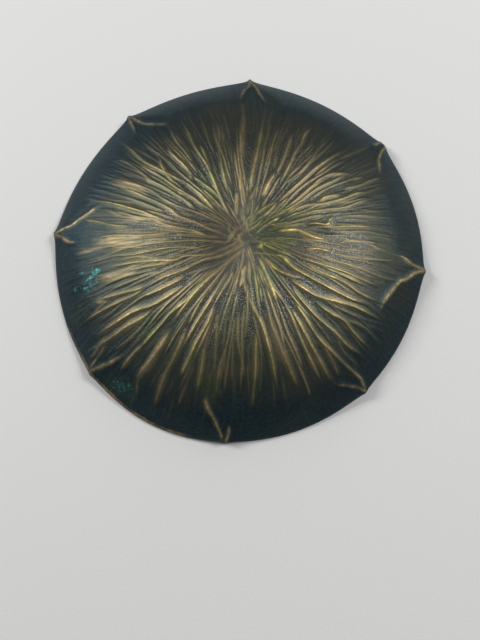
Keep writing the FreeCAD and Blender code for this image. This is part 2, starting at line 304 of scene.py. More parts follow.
# Patches of coloured patina: middle x, y and half sizes in mm, and strength
GREEN_PATCHES = (
    (-25, -27, 4, 3, 0.6), (-6, -43, 3, 2.5, 0.6), (-49, -22, 3, 1.5, 0.5), (-8.5, -36, 2, 3, 0.5),
    (13, -4, 4.5, 4, 0.9), (15, 4.5, 8, 4, 0.8), (-6, 15, 4, 6, 0.7), (-33.5, -43.5, 6, 2.2, 0.5),
    (10.5, -13, 2.5, 5, 0.7),
)
TEAL_PATCHES = (
    (-42.5, -9.2, 2, 2, 1), (-45, -13.2, 3, 2, 0.8), (-49.2, -13.2, 1.2, 0.4, 0.9),
    (-46.6, -8.8, 1.2, 0.4, 0.7), (-33.5, -43.5, 5, 2, 0.75), (10.5, -10.5, 1.5, 1.5, 0.6),
)


# ---------------------------------------------------------------- shape of the leaf

def lobe_share(angle):
    """Share of its lobe at which each angle lies, the lobe's span, and the lobe's number."""
    ends = np.append(TIP_ANGLES, TIP_ANGLES[0] + 360.0)
    turned = np.mod(angle - ends[0], 360.0) + ends[0]
    lobe = np.clip(np.searchsorted(ends, turned, side="right") - 1, 0, len(TIP_ANGLES) - 1)
    span = ends[lobe + 1] - ends[lobe]
    return (turned - ends[lobe]) / span, span, lobe


def plan(angle, out):
    """Plan position at an angle and a share of the way out, from 0 at the crown to 1 at the rim."""
    share, span, lobe = lobe_share(angle)
    reach = LOBE_RADIUS + (TIP_RADIUS - LOBE_RADIUS) * np.exp(
        -span * np.minimum(share, 1.0 - share) / TIP_FLANK)
    reach = reach + LOBE_SWELLS[lobe] * np.sin(math.pi * share)
    direction = np.stack([np.cos(np.radians(angle)), np.sin(np.radians(angle))], axis=-1)
    along = (out - CROWN_SHARE) / (1.0 - CROWN_SHARE)
    crown_edge = CROWN_OFFSET + direction * CROWN_RADIUS
    on_dome = crown_edge + (direction * reach[..., None] - crown_edge) * along[..., None]
    on_crown = CROWN_OFFSET + direction * (CROWN_RADIUS * out / CROWN_SHARE)[..., None]
    return np.where((out < CROWN_SHARE)[..., None], on_crown, on_dome)


def fold_inset(share):
    """How far in from the rim a lobe's fold lies: a short arm, a soft middle and a long arm."""
    short_arm = np.clip(share / SHORT_ARM, 0, 1) ** SHORT_ARM_BEND
    long_arm = np.clip((1.0 - share) / LONG_ARM, 0, 1) ** LONG_ARM_BEND
    return FOLD_INSET * np.minimum(short_arm, long_arm)


def drop(angle, out):
    """How far the leaf's back lies below the crown."""
    along = np.clip((out - CROWN_SHARE) / (1.0 - CROWN_SHARE), 0, None)
    share = lobe_share(angle)[0]
    inset = np.maximum(fold_inset(share), LEAST_INSET)
    droop = LOBE_DROOP * np.abs(np.sin(math.pi * share)) ** LOBE_SHAPE
    into_fold = np.clip((along - 1.0 + inset) / inset, 0, None)
    return DOME_RISE * along ** 2 + droop * into_fold ** FOLD_CURL


def leaf_surface(angle, out):
    """Smooth back of the leaf, in the row frame."""
    place = plan(angle, out) + LEAF_MIDDLE
    return np.concatenate([place, (CROWN.z - drop(angle, out))[..., None]], axis=-1)


# ---------------------------------------------------------------- drawing on the leaf

LAYERS = ("ridge", "glow", "rub_and_lit_edge", "band", "pit", "green", "teal")
CELL = 0.12 * MM           # side of a layer's square cells
HALF = 62.0 * MM           # half the side of a layer
CELLS = int(2 * HALF / CELL)
LINE_MARGIN = 2.6          # a line is drawn out to this many times its half width
LINE_SHARPNESS = 1.4

# How wear and width vary along a line: middle, pace, number of waves, size, least and greatest
VEIN_WIDTH = (1.0, 0.25, 3, 0.08, 0.7, 1.4)
VEIN_WEAR = (0.95, 0.3, 4, 0.13, 0.5, 1.2)
ARM_WEAR = (1.0, 0.6, 3, 0.12, 0.6, 1.2)
# Strength of the painted rim highlight along its line
LIT_EDGE_LEVELS = (1.15, 0.4, 5, 0.20, 0.5, 1.5)

# A vein's crest and the fold that it stands on, as shares of its half width
CREST_WIDTH = 0.62
CREST_SHARPNESS = 1.2
CREST_TIP = 0.45           # share of the crest's width left at its outer tip
FOLD_WIDTH = 2.2
FOLD_TIP = 0.35
TIP_LENGTH = 0.35          # share of a vein over which it narrows to its outer tip
TIP_BEND = 0.6
CROWDED_REACH = 26.0 * MM  # folds are narrower within this distance of the crown
CROWDED_WIDTH = 0.55
VEIN_FADE = 0.22           # share of a vein over which it fades at each end
END_STRENGTH = 0.30

# Fainter veins
GOLDEN_TURN = 0.61803      # share of a turn from one to the next
ROUND_SHIFT = 0.5
FILL_POINTS = 18
FILL_END = 0.99
FILL_WANDER = (9.0, 3, 1.0)
FILL_WIDTHS = (0.34, 0.50)                # mm
FILL_FADE = (1.1, 0.4, 0.5)               # share out at which they end, its width, and least left
TAKEN = 0.34               # a place whose folds are this strong already gets no fainter vein

# Wrinkles across the crown; lengths in mm
KNOT_COUNT = 22
KNOT_SPREAD = 2.3
KNOT_TURNS = (36.0, 36.0, 36.0, 112.0)
KNOT_TURN_SPREAD = 13.0
KNOT_REACHES = (1.4, 3.2)
KNOT_BEND = 0.35
KNOT_WIDTHS = (0.45, 0.65)
KNOT_STRENGTHS = (0.4, 0.8)

# Bands, corner arms, the painted rim highlight, pits and patches
BAND_FADE = 0.35
BAND_SHARPNESS = 4.0
ARM_WIDTHS = (0.55, 0.42)  # shares of its stated width at the corner and at the inner end
ARM_RUB_WIDTH = 1.15
ARM_RUB_STRENGTH = 0.85
ARM_FOLD_WIDTH = 2.4
ARM_FOLD_STRENGTH = 0.8
ARM_FADE = 4.0
ARM_END = 0.3
LIT_EDGE_FADE = 0.25
PIT_REACH = 0.75           # share of its half length at which a pit's pointed ends lie
PIT_END_WIDTH = 0.4
PIT_END_STRENGTH = 0.9
PIT_SHARPNESS = 3.0
LEAST_SPOTS = 8
SPOTS_PER_AREA = 3
SPOT_SPREAD = 0.5
SPOT_LEVELS = (0.5, 1.0)
SPOT_LENGTH = 0.5
SPOT_END_WIDTH = 0.7
SPOT_END_LEVEL = 0.8
SPOT_SHARPNESS = 2.0
GREEN_SPOTS = (0.8, 2.4)   # mm
TEAL_SPOTS = (0.3, 0.7)    # mm

layers = {name: np.zeros((CELLS, CELLS), dtype=np.float32) for name in LAYERS}


def draw(layer, points, widths, strengths, sharpness=LINE_SHARPNESS):
    """Draws a line of changing width and strength on a layer, keeping the higher value."""
    for i in range(len(points) - 1):
        start, end = points[i], points[i + 1]
        margin = LINE_MARGIN * max(widths[i], widths[i + 1])
        low = np.minimum(start, end) - margin
        high = np.maximum(start, end) + margin
        first = np.clip(((low + HALF) / CELL).astype(int), 0, CELLS - 1)
        last = np.clip(((high + HALF) / CELL).astype(int) + 1, 1, CELLS)
        x = (np.arange(first[0], last[0]) + 0.5) * CELL - HALF
        y = (np.arange(first[1], last[1]) + 0.5) * CELL - HALF
        dx, dy = end - start
        share = (x[None, :] - start[0]) * dx + (y[:, None] - start[1]) * dy
        share = np.clip(share / max(dx * dx + dy * dy, TINY), 0, 1)
        gap = np.hypot(x[None, :] - start[0] - share * dx, y[:, None] - start[1] - share * dy)
        width = widths[i] + (widths[i + 1] - widths[i]) * share
        strength = strengths[i] + (strengths[i + 1] - strengths[i]) * share
        value = strength * np.exp(-(gap / width) ** sharpness)
        window = layers[layer][first[1]:last[1], first[0]:last[0]]
        np.maximum(window, value, out=window)


def read(layer, place):
    """Value of a layer at plan positions, by bilinear interpolation."""
    grid = layers[layer]
    cell = (place + HALF) / CELL - 0.5
    base = np.clip(np.floor(cell).astype(int), 0, CELLS - 2)
    part = cell - base
    x, y = base[..., 0], base[..., 1]
    low = grid[y, x] * (1 - part[..., 0]) + grid[y, x + 1] * part[..., 0]
    high = grid[y + 1, x] * (1 - part[..., 0]) + grid[y + 1, x + 1] * part[..., 0]
    return low * (1 - part[..., 1]) + high * part[..., 1]


def wave(values, terms, size):
    """Smooth seeded ripple of about this size."""
    total = np.zeros_like(values)
    for k in range(1, terms + 1):
        total += rng.normal() / k * np.sin(values * k + rng.uniform(0, 2 * math.pi))
    return size * total


def uneven(count, middle, pace, terms, size, least, most):
    """Seeded values that wander about a middle one along a line of this many points."""
    return np.clip(middle + wave(np.arange(count) * pace, terms, size), least, most)


def smooth(points, pieces=6):
    """Curve through given points in mm, as many short straight pieces in metres."""
    points = np.array(points) * MM
    held = np.concatenate([points[:1] * 2 - points[1:2], points, points[-1:] * 2 - points[-2:-1]])
    curve = []
    for before, start, end, after in zip(held, held[1:], held[2:], held[3:]):
        for t in np.arange(pieces) / pieces:
            curve.append((2 * t ** 3 - 3 * t ** 2 + 1) * start + (3 * t ** 2 - 2 * t ** 3) * end
                         + (t ** 3 - 2 * t ** 2 + t) * (end - before) / 2
                         + (t ** 3 - t ** 2) * (after - start) / 2)
    return np.array(curve + [points[-1]])


def fade_ends(count, share):
    """Strengths that rise over this share of a line at each end."""
    along = np.linspace(0, 1, count)
    return np.clip(np.minimum(along, 1 - along) / share + END_STRENGTH, 0, 1)


def draw_vein(width, strength, curve):
    """A raised vein: a thin crest of uneven wear on a soft fold, both narrowing to the tip."""
    widths = width * uneven(len(curve), *VEIN_WIDTH)
    strengths = strength * uneven(len(curve), *VEIN_WEAR) * fade_ends(len(curve), VEIN_FADE)
    reach = np.linalg.norm(curve - CROWN_OFFSET, axis=1)
    room = np.clip(reach / CROWDED_REACH, CROWDED_WIDTH, 1.0)
    from_tip = (reach.max() - reach) / max(reach.max() - reach.min(), MM)
    taper = np.clip(from_tip / TIP_LENGTH, 0.0, 1.0) ** TIP_BEND
    crest = CREST_WIDTH * (CREST_TIP + (1.0 - CREST_TIP) * taper)
    fold = FOLD_WIDTH * (FOLD_TIP + (1.0 - FOLD_TIP) * taper)
    draw("ridge", curve, widths * crest, strengths, CREST_SHARPNESS)
    draw("glow", curve, widths * fold * room, strengths)


def draw_fill():
    """Fainter veins in the gaps that the listed ones leave, fading towards the rim."""
    pace, terms, size = FILL_WANDER
    gone, fade, least = FILL_FADE
    for number, (count, first, last, shortest, longest, low, high) in enumerate(FILL_ROUNDS):
        for n in range(count):
            angle = 360.0 * ((n + ROUND_SHIFT * number) * GOLDEN_TURN % 1.0)
            start = rng.uniform(first, last)
            end = min(start + rng.uniform(shortest, longest), FILL_END)
            out = np.linspace(start, end, FILL_POINTS)
            turned = angle + wave(out * pace, terms, size) / (2 * np.sqrt(out))
            strength = rng.uniform(low, high) * np.clip((gone - end) / fade, least, 1.0)
            width = rng.uniform(*FILL_WIDTHS) * MM
            points = plan(turned, out)
            if read("glow", points).mean() < TAKEN:
                draw_vein(width, strength, points)


def draw_knot():
    """Short dull wrinkles that lie across the crown, most of them one way."""
    for _ in range(KNOT_COUNT):
        middle = CROWN_OFFSET + rng.normal(0, KNOT_SPREAD * MM, 2)
        turn = math.radians(rng.choice(KNOT_TURNS) + rng.normal(0, KNOT_TURN_SPREAD))
        reach = np.array([math.cos(turn), math.sin(turn)]) * rng.uniform(*KNOT_REACHES) * MM
        bend = rng.normal(0, KNOT_BEND * MM, 2)
        points = np.array([middle - reach, middle + bend, middle + reach]) / MM
        width = rng.uniform(*KNOT_WIDTHS) * MM
        draw_vein(width, rng.uniform(*KNOT_STRENGTHS), smooth(points))


def draw_bands():
    for width, strength, *points in BANDS:
        curve = smooth(points)
        levels = strength * fade_ends(len(curve), BAND_FADE)
        draw("band", curve, np.full(len(curve), width * MM), levels, BAND_SHARPNESS)


def draw_corner_arms():
    for width, strength, *points in CORNER_ARMS:
        curve = smooth(points)
        to_end = 1.0 - np.linspace(0, 1, len(curve))
        levels = strength * uneven(len(curve), *ARM_WEAR)
        levels = levels * np.clip(to_end * ARM_FADE + ARM_END, 0, 1)
        widths = width * MM * np.linspace(*ARM_WIDTHS, len(curve))
        draw("rub_and_lit_edge", curve, widths * ARM_RUB_WIDTH, levels * ARM_RUB_STRENGTH)
        draw("glow", curve, widths * ARM_FOLD_WIDTH, levels * ARM_FOLD_STRENGTH)


# Painted highlight: a rubbed gold line along the near left rim, for the lit edge of the sheet
def draw_painted_rim_highlight():
    edge = plan(np.linspace(*LIT_EDGE_ANGLES, LIT_EDGE_STEPS), np.full(LIT_EDGE_STEPS, LIT_EDGE_OUT))
    levels = uneven(LIT_EDGE_STEPS, *LIT_EDGE_LEVELS) * fade_ends(LIT_EDGE_STEPS, LIT_EDGE_FADE)
    draw("rub_and_lit_edge", edge, np.full(LIT_EDGE_STEPS, LIT_EDGE_WIDTH), levels)


def draw_pits():
    for x, y, half_length, half_width, tilt in PITS:
        middle = np.array([x, y]) * MM
        turn = math.radians(tilt)
        reach = np.array([math.cos(turn), math.sin(turn)]) * half_length * PIT_REACH * MM
        width = half_width * MM
        widths = [width * PIT_END_WIDTH, width, width * PIT_END_WIDTH]
        levels = [PIT_END_STRENGTH, 1.0, PIT_END_STRENGTH]
        draw("pit", [middle - reach, middle, middle + reach], widths, levels, PIT_SHARPNESS)


def draw_patches(layer, patches, sizes):
    """Clouds of overlapping spots between two sizes in mm, thick in the middle of each patch."""
    for x, y, half_x, half_y, strength in patches:
        for _ in range(int(LEAST_SPOTS + SPOTS_PER_AREA * half_x * half_y)):
            spot_x = x + rng.normal(0, SPOT_SPREAD) * half_x
            spot_y = y + rng.normal(0, SPOT_SPREAD) * half_y
            spot = np.array([spot_x, spot_y]) * MM
            size = rng.uniform(*sizes) * MM
            level = strength * rng.uniform(*SPOT_LEVELS)
            end = spot + rng.normal(0, SPOT_LENGTH * size, 2)
            widths = [size, size * SPOT_END_WIDTH]
            draw(layer, [spot, end], widths, [level, level * SPOT_END_LEVEL], SPOT_SHARPNESS)


def draw_leaf():
    for width, strength, *points in VEINS:
        draw_vein(width * MM, strength, smooth(points))
    draw_fill()
    draw_knot()
    draw_bands()
    draw_corner_arms()
    draw_painted_rim_highlight()
    draw_pits()
    draw_patches("green", GREEN_PATCHES, GREEN_SPOTS)
    draw_patches("teal", TEAL_PATCHES, TEAL_SPOTS)


# ---------------------------------------------------------------- leaf mesh

RIDGE_HEIGHT = 0.15 * MM
FOLD_HEIGHT = 0.27 * MM
ARM_HEIGHT = 0.22 * MM
BAND_HEIGHT = 0.15 * MM
PIT_DEPTH = 0.22 * MM

# Zones of rings over the back: first and last share of the way out, rings, and points per ring
RINGS = ((0.02, 0.14, 14, 320), (0.14, 0.30, 17, 640), (0.30, 1.0, 58, 1280))
INNER_COLUMNS = 320
INNER_RINGS = 20
INNERMOST = 0.03           # share of the way out of the last ring inside
INSIDE_RELIEF = 0.6        # share of the back's relief that the inside shows
INSIDE_WEAR = 0.25         # share of the back's rubbing and patches that the inside shows
EDGE_RELIEF = 0.5
EDGE_BULGE = 0.18 * MM
SLOPE_STEP = 1e-3          # share of the way out over which the slope is measured
SLOPE_TURN = 0.05          # angle over which it is measured the other way


def leaf_point(angle, out, depth, relief):
    """Points at a depth under the leaf's back, square to its slope, raised by the relief."""
    here = leaf_surface(angle, out)
    inner = leaf_surface(angle, np.maximum(out - SLOPE_STEP, 0))
    outward = leaf_surface(angle, out + SLOPE_STEP) - inner
    around = leaf_surface(angle + SLOPE_TURN, out) - leaf_surface(angle - SLOPE_TURN, out)
    normal = np.cross(outward, around)
    normal /= np.maximum(np.linalg.norm(normal, axis=-1, keepdims=True), TINY)
    return here + normal * (relief - depth)[..., None]


def relief_at(place):
    """Height of the veins, creases and bands over the smooth back, less the pits."""
    raised = RIDGE_HEIGHT * read("ridge", place) + FOLD_HEIGHT * read("glow", place)
    raised = raised + ARM_HEIGHT * read("rub_and_lit_edge", place)
    return raised + BAND_HEIGHT * read("band", place) - PIT_DEPTH * read("pit", place)


def ring(out, columns, depth, relief_share):
    """Points of one ring, and their places in plan."""
    angle = np.arange(columns) * 360.0 / columns
    outs = np.full(columns, out)
    place = plan(angle, outs)
    relief = relief_share * relief_at(place)
    return leaf_point(angle, outs, np.full(columns, depth), relief), place


def leaf_rings():
    """Rings from the crown out over the back, round the edge and in over the inside.

    Each is its points, their places in plan and the share of the back's wear that they show.
    """
    rings = []
    for start, end, count, columns in RINGS:
        for k in range(count + (1 if end == 1.0 else 0)):
            rings.append((*ring(start + (end - start) * k / count, columns, 0.0, 1.0), 1.0))
    columns = RINGS[-1][3]
    edge, place = ring(1.0, columns, 0.5 * SHEET, EDGE_RELIEF)
    edge[:, :2] += EDGE_BULGE * (edge[:, :2] / np.linalg.norm(edge[:, :2], axis=1, keepdims=True))
    rings.append((edge, place, 1.0))
    rings.append((*ring(1.0, columns // 2, SHEET, INSIDE_RELIEF), INSIDE_WEAR))
    for k in range(1, INNER_RINGS + 1):
        out = 1.0 + (INNERMOST - 1.0) * k / INNER_RINGS
        rings.append((*ring(out, INNER_COLUMNS, SHEET, INSIDE_RELIEF), INSIDE_WEAR))
    return rings


def join(faces, first, first_count, second, second_count):
    """Faces between two rings; the second has as many points as the first, or twice or half."""
    if first_count == second_count:
        for i in range(first_count):
            j = (i + 1) % first_count
            faces.append((first + i, second + i, second + j, first + j))
    elif second_count == 2 * first_count:
        for i in range(first_count):
            j = (i + 1) % first_count
            a, b, c = second + 2 * i, second + 2 * i + 1, second + (2 * i + 2) % second_count
            faces.append((first + i, a, b))
            faces.append((first + i, b, first + j))
            faces.append((first + j, b, c))
    else:
        for i in range(second_count):
            j = (i + 1) % second_count
            a, b, c = first + 2 * i, first + 2 * i + 1, first + (2 * i + 2) % first_count
            faces.append((a, second + i, b))
            faces.append((b, second + i, second + j))
            faces.append((b, second + j, c))


def close(faces, first, count, centre, inside):
    """Fan of faces from a ring to a centre point."""
    for i in range(count):
        j = (i + 1) % count
        faces.append((first + j, first + i, centre) if inside else (first + i, first + j, centre))


def make_leaf_mesh():
    """Closed leaf: back from the crown out, over the rim's edge, and inside back to the crown."""
    rings = leaf_rings()
    counts = [len(points) for points, place, wear in rings]
    firsts = np.cumsum([0] + counts).tolist()
    faces = []
    for i in range(len(rings) - 1):
        join(faces, firsts[i], counts[i], firsts[i + 1], counts[i + 1])
    total = firsts[-1]
    close(faces, 0, counts[0], total, inside=False)
    close(faces, firsts[-2], counts[-1], total + 1, inside=True)

    top = (CROWN.x, CROWN.y, CROWN.z)
    under_top = (CROWN.x, CROWN.y, CROWN.z - SHEET)
    vertices = np.concatenate([points for points, place, wear in rings] + [[top, under_top]])
    places = np.concatenate([place for points, place, wear in rings] + [[CROWN_OFFSET] * 2])
    wear_share = np.concatenate([np.full(len(points), wear) for points, place, wear in rings])
    wear_share = np.append(wear_share, [1.0, INSIDE_WEAR])

    mesh = bpy.data.meshes.new("leaf_shell_detail")
    mesh.from_pydata(vertices.tolist(), [], faces)
    mesh.validate()
    for name in LAYERS:
        attribute = mesh.attributes.new(name, "FLOAT", "POINT")
        values = (wear_share * read(name, places)).astype(np.float32)
        attribute.data.foreach_set("value", values)
    mesh.polygons.foreach_set("use_smooth", [True] * len(mesh.polygons))
    mesh.update()
    return mesh


# ---------------------------------------------------------------- materials

STREAKS = 34.0             # fineness of the streaks round the crown
STREAK_LENGTH_SCALE = 110.0


class Nodes:
    """Short hand for building a material's node tree."""

    def __init__(self, name):
        self.material = bpy.data.materials.new(name)
        self.material.use_nodes = True
        self.tree = self.material.node_tree
        self.shader = next(n for n in self.tree.nodes if n.type == "BSDF_PRINCIPLED")
        self.place = self.add("ShaderNodeTexCoord").outputs["Object"]

    def add(self, kind, **settings):
        node = self.tree.nodes.new(kind)
        for key, value in settings.items():
            setattr(node, key, value)
        return node

    def set(self, socket, value):
        if isinstance(value, bpy.types.NodeSocket):
            self.tree.links.new(value, socket)
        elif isinstance(value, tuple) and len(value) == 3 and socket.type == "RGBA":
            socket.default_value = (*value, 1.0)
        else:
            socket.default_value = value

    def noise(self, scale, detail=4.0, roughness=0.6, distortion=0.0, place=None):
        node = self.add("ShaderNodeTexNoise")
        self.set(node.inputs["Vector"], self.place if place is None else place)
        self.set(node.inputs["Scale"], scale)
        self.set(node.inputs["Detail"], detail)
        self.set(node.inputs["Roughness"], roughness)
        self.set(node.inputs["Distortion"], distortion)
        return node.outputs["Fac"]

    def attribute(self, name):
        return self.add("ShaderNodeAttribute", attribute_name=name).outputs["Fac"]

    def vector(self, operation, a, b=None):
        node = self.add("ShaderNodeVectorMath", operation=operation)
        self.set(node.inputs[0], a)
        if b is not None:
            self.set(node.inputs[1], b)
        return node.outputs["Value" if operation == "LENGTH" else "Vector"]

    def reach_and_streaks(self):
        """Distance from the crown seen from above, and fine noise drawn out along the rays."""
        crown = (CROWN.x, CROWN.y, 0.0)
        flat = self.vector("MULTIPLY", self.vector("SUBTRACT", self.place, crown), (1.0, 1.0, 0.0))
        reach = self.vector("LENGTH", flat)
        turn = self.vector("MULTIPLY", self.vector("NORMALIZE", flat), (STREAKS, STREAKS, 0.0))
        along = self.add("ShaderNodeCombineXYZ")
        self.set(along.inputs[2], self.math("MULTIPLY", reach, STREAK_LENGTH_SCALE))
        place = self.vector("ADD", turn, along.outputs[0])
        return reach, self.noise(1.0, 3.0, place=place)

    def place_away(self):
        """Place along Y, away from the viewer."""
        node = self.add("ShaderNodeSeparateXYZ")
        self.set(node.inputs[0], self.place)
        return node.outputs["Y"]

    def math(self, operation, a, b=0.0, clamp=False):
        node = self.add("ShaderNodeMath", operation=operation, use_clamp=clamp)
        self.set(node.inputs[0], a)
        self.set(node.inputs[1], b)
        return node.outputs[0]

    def product(self, first, *others):
        for other in others:
            first = self.math("MULTIPLY", first, other)
        return first

    def ramp(self, value, low, high, out_low=0.0, out_high=1.0):
        """Smooth step: out_low up to a value of low, and out_high from a value of high."""
        node = self.add("ShaderNodeMapRange", interpolation_type="SMOOTHSTEP")
        for name, number in (("Value", value), ("From Min", low), ("From Max", high),
                             ("To Min", out_low), ("To Max", out_high)):
            self.set(node.inputs[name], number)
        return node.outputs[0]

    def mix(self, factor, a, b):
        node = self.add("ShaderNodeMix", data_type="RGBA")
        self.set(node.inputs[0], factor)
        self.set(node.inputs[6], a)
        self.set(node.inputs[7], b)
        return node.outputs[2]

    def bump(self, height, distance, strength=1.0):
        node = self.add("ShaderNodeBump")
        self.set(node.inputs["Height"], height)
        self.set(node.inputs["Distance"], distance)
        self.set(node.inputs["Strength"], strength)
        self.set(self.shader.inputs["Normal"], node.outputs[0])

    def finish(self, color, metallic, roughness):
        self.set(self.shader.inputs["Base Color"], color)
        self.set(self.shader.inputs["Metallic"], metallic)
        self.set(self.shader.inputs["Roughness"], roughness)
        return self.material


RIM_DARK = (0.005, 0.013, 0.018)
RIM_LIGHT = (0.013, 0.026, 0.030)
CROWN_BROWN = (0.036, 0.037, 0.029)
HOLLOW_DARK = (0.026, 0.029, 0.023)
FOLD_TAN = (0.124, 0.099, 0.052)
FOLD_OLIVE = (0.078, 0.080, 0.033)
# Painted glints: grey speckled over the dark metal in a ring round the crown
GLINT_GREY = (0.235, 0.220, 0.195)
GOLD_DULL = (0.25, 0.180, 0.070)
GOLD_BRIGHT = (0.52, 0.38, 0.185)
GOLD_YELLOW = (0.56, 0.49, 0.13)
COPPER = (0.50, 0.30, 0.19)
BAND_TAN = (0.17, 0.135, 0.075)
MOSS = (0.040, 0.064, 0.026)
TEAL_DEEP = (0.006, 0.085, 0.095)
MINT = (0.10, 0.33, 0.22)
EDGE_TINT = (0.74, 0.81, 0.85)

# Noise fineness, detail and roughness
COARSE_NOISE = (70.0, 4.0)
FINE_NOISE = (900.0, 4.0, 0.7)
GRAIN_NOISE = (3200.0, 2.0, 0.7)
WEAR_NOISE = (45.0, 2.0)

# Smooth steps over distance from the crown or along Y, in metres: two distances, a value at each
NEAR_SIDE_SHIFT = (-0.050, -0.018, -0.009, 0.0)
# Painted shade: worn folds, gold crests and painted glints fade to 0.58 of their strength towards the
# far side, +Y
FAR_SIDE_SHADE = (0.0, 0.038, 1.0, 0.58)
FOLD_WEAR = (0.026, 0.059, 1.0, 0.28)
CREST_WEAR = (0.024, 0.050, 0.84, 0.45)
CREST_AT_CROWN = (0.004, 0.018, 0.28, 1.0)
CROWN_TO_HOLLOW = (0.004, 0.024)
HOLLOW_TO_RIM = (0.039, 0.056)
SPARKLE_TO_RIM = (0.023, 0.042, 0.80, 0.05)
SPARKLE_AT_CROWN = (0.008, 0.020, 0.25, 1.0)

# Smooth steps over noise, in the same form
DOME_BLOTCHES = (0.25, 0.75, -0.006, 0.006)
GREEN_SPECKLE = (0.30, 0.60, 0.35, 1.0)
EVEN_SPREAD = (0.3, 0.7)
SPARKLE_GRAIN = (0.50, 0.68)
FOLD_TONE = (0.40, 0.60)
FOLD_STREAKS = (0.25, 0.7, 0.45, 1.0)
BAND_STREAKS = (0.40, 0.58, 0.15, 0.80)
COPPER_PATCHES = (0.52, 0.66)
CREST_PATCHES = (0.35, 0.60, 0.60, 1.0)
WEAR_SPECKLE = (0.2, 0.6, 0.6, 1.0)
TEAL_SPECKLE = (0.42, 0.56)
MINT_GRAIN = (0.52, 0.62)

# Smooth steps over a drawn layer's value
MOSS_LEVELS = (0.05, 0.8)
YELLOW_LEVELS = (0.05, 0.6)
FOLD_LEVELS = (0.20, 0.72)
CREST_LEVELS = (0.25, 1.05)
RUB_LEVELS = (0.2, 1.1, 0.0, 0.62)
TEAL_LEVELS = (0.15, 0.6)

MOSS_COVER = 0.7
TEAL_COVER = 0.8
PIT_COVER = 0.6
FINE_BUMP = 0.4
STREAK_BUMP = 0.5
GRAIN_BUMP = 0.35
BRONZE_BUMP = (0.30 * MM, 0.75)
WEAR_METALLIC = (0.0, 1.0, 0.86, 0.96)
WEAR_ROUGHNESS = (0.0, 1.0, 0.44, 0.34)


def patinated_bronze():
    """Blue-black patina in the hollows and at the rim, worn tan on the folds and gold on the veins,
    with painted shade on the far side and painted glints round the crown.
    """
    n = Nodes("patinated_bronze")
    ridge, glow = n.attribute("ridge"), n.attribute("glow")
    coarse = n.noise(*COARSE_NOISE)
    fine = n.noise(*FINE_NOISE)
    grain = n.noise(*GRAIN_NOISE)
    reach, streak = n.reach_and_streaks()
    away = n.place_away()
    dome = n.math("ADD", reach, n.ramp(coarse, *DOME_BLOTCHES))
    worn_reach = n.math("ADD", dome, n.ramp(away, *NEAR_SIDE_SHIFT))
    # Painted shade that darkens the far side of the leaf
    far_side_shade = n.ramp(away, *FAR_SIDE_SHADE)
    green = n.product(n.attribute("green"), n.ramp(fine, *GREEN_SPECKLE))

    hollow = n.mix(n.ramp(dome, *CROWN_TO_HOLLOW), CROWN_BROWN, HOLLOW_DARK)
    rim = n.mix(n.ramp(fine, *EVEN_SPREAD), RIM_DARK, RIM_LIGHT)
    color = n.mix(n.ramp(dome, *HOLLOW_TO_RIM), hollow, rim)
    color = n.mix(n.product(n.ramp(green, *MOSS_LEVELS), MOSS_COVER), color, MOSS)
    # Painted glints: grey speckle in a ring round the crown, where the light gleams, fainter at the
    # crown, the rim and the far side
    painted_glints = n.product(n.ramp(grain, *SPARKLE_GRAIN), n.ramp(dome, *SPARKLE_TO_RIM), far_side_shade,
                        n.ramp(dome, *SPARKLE_AT_CROWN))
    color = n.mix(painted_glints, color, GLINT_GREY)

    fold = n.mix(n.ramp(coarse, *FOLD_TONE), FOLD_TAN, FOLD_OLIVE)
    # Worn tan folds, dimmed on the far side by the painted shade
    soft = n.product(n.ramp(glow, *FOLD_LEVELS), n.ramp(streak, *FOLD_STREAKS),
                     n.ramp(worn_reach, *FOLD_WEAR), far_side_shade)
    color = n.mix(soft, color, fold)
    band = n.product(n.attribute("band"), n.ramp(streak, *BAND_STREAKS))
    color = n.mix(band, color, BAND_TAN)

    gold = n.mix(n.ramp(fine, *EVEN_SPREAD), GOLD_DULL, GOLD_BRIGHT)
    gold = n.mix(n.ramp(coarse, *COPPER_PATCHES), gold, COPPER)
    green_metal = n.ramp(green, *YELLOW_LEVELS)
    gold = n.mix(green_metal, gold, GOLD_YELLOW)
    off_crown = n.math("MAXIMUM", n.ramp(dome, *CREST_AT_CROWN), green_metal)
    # Gold crests, dimmed on the far side by the painted shade
    crest = n.product(n.ramp(ridge, *CREST_LEVELS), n.ramp(worn_reach, *CREST_WEAR), off_crown,
                      n.ramp(n.noise(*WEAR_NOISE), *CREST_PATCHES), far_side_shade)
    # Gold wear: the crests, the rubbed corner arms and the painted highlight along the near left rim
    wear = n.math("ADD", crest, n.ramp(n.attribute("rub_and_lit_edge"), *RUB_LEVELS), clamp=True)
    wear = n.product(wear, n.ramp(fine, *WEAR_SPECKLE))
    color = n.mix(wear, color, gold)

    teal = n.product(n.ramp(n.attribute("teal"), *TEAL_LEVELS), n.ramp(fine, *TEAL_SPECKLE))
    crust = n.mix(n.ramp(grain, *MINT_GRAIN), TEAL_DEEP, MINT)
    color = n.mix(n.product(teal, TEAL_COVER), color, crust)
    color = n.mix(n.product(n.attribute("pit"), PIT_COVER), color, HOLLOW_DARK)

    height = n.math("ADD", n.product(fine, FINE_BUMP), n.product(streak, STREAK_BUMP))
    n.bump(n.math("ADD", height, n.product(grain, GRAIN_BUMP)), *BRONZE_BUMP)
    n.set(n.shader.inputs["Specular Tint"], EDGE_TINT)
    return n.finish(color, n.ramp(wear, *WEAR_METALLIC), n.ramp(wear, *WEAR_ROUGHNESS))


def blotched_metal(name, noise, blotches, tones, bump_noise, bump, metallic, roughness):
    """Plain metal in two tones, blotched by one noise and roughened by another."""
    n = Nodes(name)
    patches = n.noise(*noise)
    color = n.mix(n.ramp(patches, *blotches), *tones)
    n.bump(n.noise(*bump_noise), *bump)
    return n.finish(color, metallic, n.ramp(patches, *EVEN_SPREAD, *roughness))


